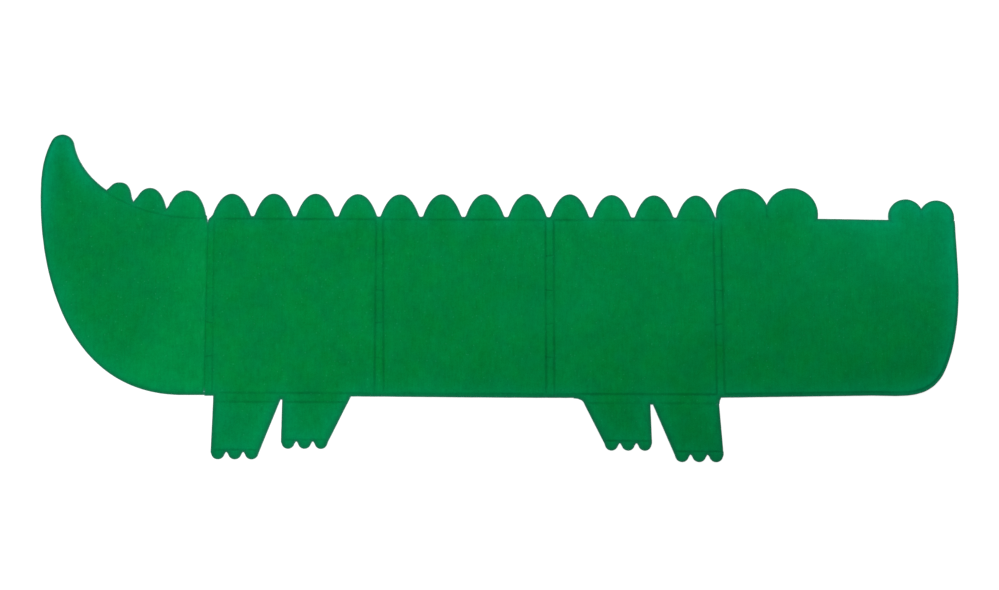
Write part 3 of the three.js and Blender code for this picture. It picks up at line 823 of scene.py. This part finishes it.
# %% Felt material
def felt(name, deep, raised, lint):
    """Pressed felt: colours for the mottle's deep and raised parts, and for the loose lint."""
    material = bpy.data.materials.new(name)
    tree = empty_tree(material)
    rest = add_node(tree, "ShaderNodeAttribute", {"attribute_name": "rest_place"})
    mm = add_node(tree, "ShaderNodeVectorMath", {"operation": "SCALE"},
                  in0=rest.outputs["Vector"], Scale=1000)
    rolled = add_node(tree, "ShaderNodeVectorMath", {"operation": "MULTIPLY"},
                      in0=mm.outputs[0], in1=(1, 0.14, 1))

    # Cloudy mottle 9 mm across, streaks 2 mm wide and 14 mm long, fibres a millimetre apart
    # where real ones are a fiftieth of that, and clouds 70 mm across
    mottle = add_node(tree, "ShaderNodeTexNoise", Vector=mm.outputs[0], Scale=1 / 9, Detail=3, Roughness=0.65)
    streak = add_node(tree, "ShaderNodeTexNoise", Vector=rolled.outputs[0], Scale=1 / 2, Detail=2)
    fibre = add_node(tree, "ShaderNodeTexNoise", Vector=mm.outputs[0], Scale=1 / 1.3, Detail=2, Roughness=0.7,
                     Distortion=0.5)
    cloud = add_node(tree, "ShaderNodeTexNoise", Vector=mm.outputs[0], Scale=1 / 70, Detail=1)
    amounts = [(mottle, 0.7), (streak, 0.42), (fibre, 0.84), (cloud, 0.48)]
    # Each noise swings about a half, and so does their sum
    total = 0.5 - sum(amount for _, amount in amounts) / 2
    for source, amount in amounts:
        part = add_node(tree, "ShaderNodeMath", {"operation": "MULTIPLY_ADD"},
                        in0=source.outputs[0], in1=amount, in2=total)
        total = part.outputs[0]
    # The dye took unevenly: in clouds 30 mm across the green is a little bluer or yellower
    dye = add_node(tree, "ShaderNodeTexNoise", Vector=mm.outputs[0], Scale=1 / 30, Detail=2, Roughness=0.6)
    bluer = add_node(tree, "ShaderNodeMapRange", Value=dye.outputs[0], in1=0.35, in2=0.68, in3=0.03, in4=0.42)
    # Lint: one small pale fleck every 7 mm or so
    cells = add_node(tree, "ShaderNodeTexVoronoi", Vector=mm.outputs[0], Scale=1 / 7)
    fleck = add_node(tree, "ShaderNodeMapRange", Value=cells.outputs["Distance"],
                     in1=0.03, in2=0.14, in3=0.4, in4=0)

    # The marks kept with the points, and how strongly three of them show
    kept, shown = {}, {}
    for key in marks:
        kept[key] = add_node(tree, "ShaderNodeAttribute", {"attribute_name": key}).outputs["Fac"]
    for key, share in (("handled", 0.62), ("toned", 0.3), ("pressed", 0.62)):
        shown[key] = add_node(tree, "ShaderNodeMath", {"operation": "MULTIPLY"}, in0=kept[key], in1=share)
    very_edge = add_node(tree, "ShaderNodeMapRange", Value=kept["cut"], in1=0.72, in2=0.92, in3=0, in4=0.8)
    tuft = add_node(tree, "ShaderNodeMapRange", Value=streak.outputs[0], in1=0.5, in2=0.7)
    tufts = add_node(tree, "ShaderNodeMath", {"operation": "MULTIPLY"}, in0=kept["seam"], in1=tuft.outputs[0])

    # Colour upon colour: how much of each is laid over what is there, and which colour it is
    colour = linear(deep)
    for share, over in [
        (total, raised),
        (bluer.outputs[0], "#007846"),
        (fleck.outputs[0], lint),
        # Painted light makes the edges paler, and the tail's felt turns lighter towards the seam
        (shown["handled"].outputs[0], "#009662"),
        (shown["toned"].outputs[0], "#009c4c"),
        # Painted shade beside the boards, in the creases and along the cut edge, and the seam's dark line
        (shown["pressed"].outputs[0], "#004d26"),
        # A cut edge is painted darker and bluer, as shade on its rounded edge, with pale fibres at the very
        # edge
        (kept["cut"], "#2a7060"),
        (very_edge.outputs[0], "#7fcdb0"),
        (tufts.outputs[0], "#2b9a6c"),
    ]:
        laid = add_node(tree, "ShaderNodeMix", {"data_type": "RGBA"}, in0=share, in6=colour, in7=linear(over))
        colour = laid.outputs[2]

    # The mottle lightens and darkens all of these colours alike
    shade = add_node(tree, "ShaderNodeMapRange", {"clamp": False}, Value=total, in3=0.72, in4=1.28)
    shaded = add_node(tree, "ShaderNodeVectorMath", {"operation": "SCALE"},
                      in0=colour, Scale=shade.outputs[0])

    # The nap: fibres and mottle raise the surface by some hundredths of a millimetre
    nap = add_node(tree, "ShaderNodeMath", {"operation": "MULTIPLY_ADD"},
                   in0=mottle.outputs[0], in1=0.6, in2=fibre.outputs[0])
    bump = add_node(tree, "ShaderNodeBump", Height=nap.outputs[0], Strength=0.6, Distance=0.00012)
    shader = add_node(tree, "ShaderNodeBsdfPrincipled", Base_Color=shaded.outputs[0], Normal=bump.outputs[0],
                      Roughness=0.95, Specular_IOR_Level=0.03,
                      Sheen_Weight=0.2, Sheen_Roughness=0.5, Sheen_Tint=linear("#12a05c"))
    add_node(tree, "ShaderNodeOutputMaterial", Surface=shader.outputs[0])
    return material


body_felt = felt("green_felt", "#008232", "#00823d", "#2aa06c")
tail_felt = felt("lighter_green_felt", "#008133", "#00813e", "#2fa671")
print("Felt nodes:", len(body_felt.node_tree.nodes))

# %% [markdown]
# ## Making the pieces
# Each piece of felt is a closed body: the upper surface, the lower one, and a wall round the
# cut edge between them. A plane with a Solidify modifier would give a wall at right angles
# everywhere. Made by hand, the wall can be drawn in along the glue line, where the front and
# the back felt meet. Where two pieces meet in a dividing cut, smooth shading alone would round
# each one off and show a dark line. There both take their shading from the whole sheet.


# %% Build closed felt
# A point nearer to a line than this is on it. The glue line lies a little inside a cut edge,
# and the back's texture is read 20 mm further on, so that it doesn't repeat the front's.
on_line, glue_inset, back_texture = 0.02, 0.3, 0.02


def closed_felt(name, chosen, upper, lower, material, glued=False, shift=None):
    """A closed piece of felt over the chosen triangles, from a lower to an upper height."""
    used, local = np.unique(chosen, return_inverse=True)
    local = local.reshape(chosen.shape)
    count = len(used)
    flat = plan[used] - frame_shift
    if shift is not None:
        flat = flat + shift[used]
    edges = {(int(t[i]), int(t[(i + 1) % 3])) for t in local for i in range(3)}
    rim = [(a, b) for a, b in edges if (b, a) not in edges]
    cut = cut_distance[used] < on_line
    walls, smooth_walls, extra, extra_of = [], [], [], {}
    if glued:
        inward = np.zeros((count, 2))
        for a, b in rim:
            along = flat[b] - flat[a]
            turn = np.array([-along[1], along[0]]) / max(np.linalg.norm(along), 1e-9)
            inward[a] += turn * (cut[a] and cut[b])
            inward[b] += turn * (cut[a] and cut[b])
        for i in sorted({i for edge in rim for i in edge}):
            size = np.linalg.norm(inward[i])
            extra_of[i] = 2 * count + len(extra)
            extra.append(flat[i] + (inward[i] / size * glue_inset if size > 0 else 0))
    for a, b in sorted(rim):
        is_cut = bool(cut[a] and cut[b])
        if glued:
            m, n = extra_of[a], extra_of[b]
            walls += [(b, a, m, n), (n, m, a + count, b + count)]
            smooth_walls += [is_cut, is_cut]
        else:
            walls.append((b, a, a + count, b + count))
            smooth_walls.append(is_cut)
    middle_height = np.zeros(len(extra))
    places = np.vstack([flat, flat, np.array(extra).reshape(-1, 2)])
    heights = np.concatenate([upper[used], lower[used], middle_height])
    vertices = np.column_stack([places, heights + shell_half]) / 1000
    faces = [tuple(t) for t in local] + [tuple(t[::-1] + count) for t in local] + walls
    mesh = bpy.data.meshes.new(name)
    mesh.from_pydata(vertices.tolist(), [], [tuple(map(int, f)) for f in faces])
    mesh.polygons.foreach_set("use_smooth", [True] * (2 * len(local)) + smooth_walls)
    rest = vertices.copy()
    rest[heights < 0, 2] += back_texture
    at = np.concatenate([used, used, used[list(extra_of)] if extra_of else []]).astype(int)
    for key, values in marks.items():
        mesh.attributes.new(key, "FLOAT", "POINT").data.foreach_set("value", values[at].astype(np.float32))
    rest_place = mesh.attributes.new("rest_place", "FLOAT_VECTOR", "POINT")
    rest_place.data.foreach_set("vector", rest.astype(np.float32).ravel())
    mesh.materials.append(material)
    mesh.validate()

    # Along a dividing cut the shading takes the whole sheet's directions
    divided = np.zeros(count, bool)
    divided[[i for edge in rim for i in edge if not (cut[edge[0]] and cut[edge[1]])]] = True
    directions = np.zeros((len(mesh.loops), 3))
    sides = [(0, local, (1, 1, 1), abs(upper[used] - surface[used]).max() < 0.01),
             (3 * len(local), local[:, ::-1], (1, 1, -1), abs(lower[used] + surface[used]).max() < 0.01)]
    for first, corners, mirror, outer_side in sides:
        flat_corners = corners.ravel()
        if outer_side:
            chosen_corners = np.flatnonzero(divided[flat_corners])
            directions[first + chosen_corners] = sheet_normals[used[flat_corners[chosen_corners]]] * mirror
    mesh.normals_split_custom_set(directions.tolist())
    piece = bpy.data.objects.new(name, mesh)
    scene.collection.objects.link(piece)
    return piece


def plan_area(chosen):
    a, b, c = (plan[chosen[:, i]] for i in range(3))
    return float(0.5 * np.abs(np.cross(b - a, c - a)).sum()) / 1e6


# The least side and share of its rectangle that a flat sheet may have
least_side, least_share = 0.0101, 0.301


def declare(chosen, layers=1):
    """Works out how large the felt was cut for this piece, and neither returns nor keeps it. Two glued layers
    were cut side by side.
    """
    low, high = plan[chosen].reshape(-1, 2).min(0), plan[chosen].reshape(-1, 2).max(0)
    width, length = (max(side, least_side) for side in (high - low) / 1000 * (layers, 1))
    area = min(layers * plan_area(chosen), width * length)
    area = max(area, least_share * width * length)


# %% [markdown]
# ### The seam beside the tail
# The tail's felt is a piece of its own, a shade lighter, set edge to edge with the body's. At
# the top the outline has a notch between the two. Near the hem they don't quite meet either:
# the two edges are drawn apart there by a few tenths of a millimetre, and the marks have filled
# that slit with pale fibres.
# The two legs of a pair were cut apart all the way up, so that each can fold by itself. Their
# edges are drawn apart by less than a tenth of a millimetre, which doesn't show.

# %% Edges drawn apart
slit_y, slit_reach, tail_back_off, strip_back_off, leg_back_off = -104.7, 3.2, 0.2, 0.1, 0.04


def drawn(chosen, by):
    """How far each point of the plan moves along x: the chosen ones by some millimetres."""
    return np.column_stack([np.where(chosen, by, 0), np.zeros(len(plan))])


on_seam = np.abs(px - seam_x) < on_line
slit_share = np.clip(1 - np.abs(py - slit_y) / slit_reach, 0, 1)
drawn_apart = {"tail": drawn(on_seam, -tail_back_off * slit_share),
               "tail_fold.far": drawn(on_seam, strip_back_off * slit_share)}
for name, leg in legs.items():
    on_slit = (np.abs(px * leg["side"] - leg["slit"]) < on_line) & (py > -120)
    aside = leg["side"] * leg_back_off * (1 - 2 * leg["order"])
    for key in (name, name + "_fold.near", name + "_fold.far"):
        drawn_apart[key] = drawn(on_slit, aside * smooth((leg_cut - py) / 1.5))
print("Pieces with an edge drawn aside:", len(drawn_apart))

# %% Felt over the boards
felts = {}
for body_name in ["tail", "rear_panel", "middle_panel", "front_panel", "head", *legs]:
    chosen = triangles[piece_of == body_name]
    material, slot = (tail_felt, "tail_felt") if body_name == "tail" else (body_felt, "felt")
    for face, upper, lower in (("front", surface, inner), ("back", -inner, -surface)):
        name = f"{body_name}_{face}_cloth"
        piece = closed_felt(name, chosen, upper, lower, material, shift=drawn_apart.get(body_name))
        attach(piece, body_name)
        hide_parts(f"{body_name}_{face}_felt")
        declare(chosen)
        felts[name] = piece
print("Felts over boards:", len(felts), "with", sum(len(p.data.polygons) for p in felts.values()), "faces")

# %% [markdown]
# ## The folds
# In a fold the two felts are glued to one another, and the strip bends along two creases, one
# beside each board. On the real board this is one length of cloth. Here each half of a strip is a
# piece of its own, lying flat as at rest: the bodies and points at its two ends are listed, and
# nothing in this script uses them.

# %% Felt in the folds
fold_ends = {"tail_fold": ("rear_panel", "tail"), "rear_fold": ("middle_panel", "rear_panel"),
             "front_fold": ("middle_panel", "front_panel"), "head_fold": ("front_panel", "head")}


def frame_point(x, y):
    return ((x - frame_shift[0]) / 1000, (y - frame_shift[1]) / 1000, shell_half / 1000)


strips = {}
for fold, middle in fold_middles.items():
    towards_head = 1 if middle > 0 else -1
    near_body, far_body = fold_ends[fold]
    near_end = frame_point(middle - towards_head * fold_half, 0)
    far_end = frame_point(middle + towards_head * fold_half, 0)
    centre = frame_point(middle, 0)
    strips[fold + ".near"] = (near_body, fold, near_end, centre)
    strips[fold + ".far"] = (fold, far_body, centre, far_end)
for name, leg in legs.items():
    panel = "rear_panel" if leg["side"] < 0 else "front_panel"
    fold = name + "_fold"
    strips[fold + ".near"] = (panel, fold, frame_point(0, leg_cut), frame_point(0, leg_middle))
    strips[fold + ".far"] = (fold, name, frame_point(0, leg_middle), frame_point(0, leg_foot))

for key, (body_a, body_b, start, end) in strips.items():
    fold, half = key.split(".")
    chosen = triangles[piece_of == key]
    piece = closed_felt(f"{fold}_{half}_cloth", chosen, surface, -surface, body_felt,
                        glued=True, shift=drawn_apart.get(key))
    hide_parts(fold + "_front_layer", fold + "_back_layer")
    declare(chosen, layers=2)
    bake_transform(piece)
print("Fold pieces:", len(strips))

# %% [markdown]
# ## Grey board
# Solid grey board is pressed from waste paper: a dull grey-brown sheet with fine flecks. It is
# hidden in the closed felt, and shows only to someone who opens the model up, so a plain
# mottle is enough. The CAD boards stay as they are and take this material.

# %% Grey board material
pressed_paper = bpy.data.materials.new("solid_grey_board")
tree = empty_tree(pressed_paper)
place = add_node(tree, "ShaderNodeTexCoord")
# Flecks of 1.1 mm
flecks = add_node(tree, "ShaderNodeTexNoise", Vector=place.outputs["Object"],
                  Scale=900, Detail=3, Roughness=0.7)
greys = add_node(tree, "ShaderNodeMix", {"data_type": "RGBA"},
                 in0=flecks.outputs[0], in6=linear("#9b8f7e"), in7=linear("#c6bba8"))
grain = add_node(tree, "ShaderNodeBump", Height=flecks.outputs[0], Strength=0.4, Distance=0.00005)
shader = add_node(tree, "ShaderNodeBsdfPrincipled", Base_Color=greys.outputs[2], Normal=grain.outputs[0],
                  Roughness=0.88)
add_node(tree, "ShaderNodeOutputMaterial", Surface=shader.outputs[0])
for name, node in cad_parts.items():
    if name.endswith("_board"):
        node.data.materials.clear()
        node.data.materials.append(pressed_paper)
print("Boards:", sum(name.endswith("_board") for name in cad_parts))
